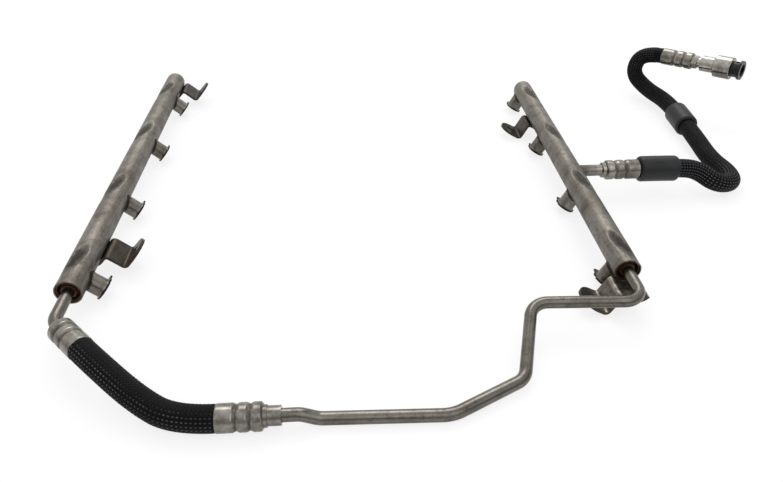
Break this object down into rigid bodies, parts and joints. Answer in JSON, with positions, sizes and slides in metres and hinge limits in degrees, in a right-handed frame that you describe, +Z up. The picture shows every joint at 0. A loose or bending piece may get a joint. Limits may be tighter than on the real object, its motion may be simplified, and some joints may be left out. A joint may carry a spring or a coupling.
{
  "type": "fuel rail",
  "caption": "Fuel rail pair for a vee engine: dented steel tubes with injector cups and brackets, joined by a bent pipe and hose, with a braided inlet hose and quick connector.",
  "frame": {"origin": "middle of the footprint of everything but the free inlet hose and what is on it, on the surface the assembly lies on", "axes": "+X from the left rail to the right rail, across the engine; +Y along the rails to their closed rear ends; +Z up, away from the surface"},
  "size_m": [0.7162, 0.5684, 0.0771],
  "materials": {
    "rail_steel": "dull drawn stainless tube with heat stains and handling marks",
    "plug_steel": "pressed steel, brown with surface rust",
    "cup_steel": "deep-drawn stainless, satin bright with a dark braze line",
    "bracket_steel": "pressed strip, brown-grey oxide with dark edges",
    "pipe_steel": "drawn stainless pipe, bright along its length",
    "fitting_steel": "turned and crimped steel, satin, lightly stained",
    "connector_steel": "turned steel, satin",
    "hose_rubber": "black hose core",
    "hose_braid": "black textile braid with light flecks at the crossings",
    "bumper_rubber": "matt black moulded sleeve",
    "seal_rubber": "black ring",
    "retainer_plastic": "matt black moulding"
  },
  "bodies": {
    "root": {"left_rail_tube": "rail_steel", "left_front_plug": "plug_steel", "left_injector_cup_1": "cup_steel", "left_injector_cup_2": "cup_steel", "left_injector_cup_3": "cup_steel", "left_injector_cup_4": "cup_steel", "left_front_bracket": "bracket_steel", "left_rear_bracket": "bracket_steel", "right_rail_tube": "rail_steel", "right_front_plug": "plug_steel", "right_injector_cup_1": "cup_steel", "right_injector_cup_2": "cup_steel", "right_injector_cup_3": "cup_steel", "right_injector_cup_4": "cup_steel", "right_front_bracket": "bracket_steel", "right_rear_bracket": "bracket_steel", "left_feed_pipe": "pipe_steel", "crossover_pipe": "pipe_steel", "left_hose_ferrule": "fitting_steel", "crossover_ferrule": "fitting_steel", "crossover_nipple": "fitting_steel", "inlet_stem": "fitting_steel", "inlet_ferrule": "fitting_steel", "end_ferrule": "fitting_steel", "crossover_hose": "hose_rubber", "crossover_braid": "hose_braid", "inlet_hose": "hose_braid", "hose_bumper_1": "bumper_rubber", "hose_bumper_2": "bumper_rubber", "connector_stem": "connector_steel", "connector_body": "connector_steel", "connector_seal_1": "seal_rubber", "connector_seal_2": "seal_rubber", "connector_spacer": "retainer_plastic", "connector_bush": "retainer_plastic", "connector_retainer": "retainer_plastic"}
  },
  "joints": []
}
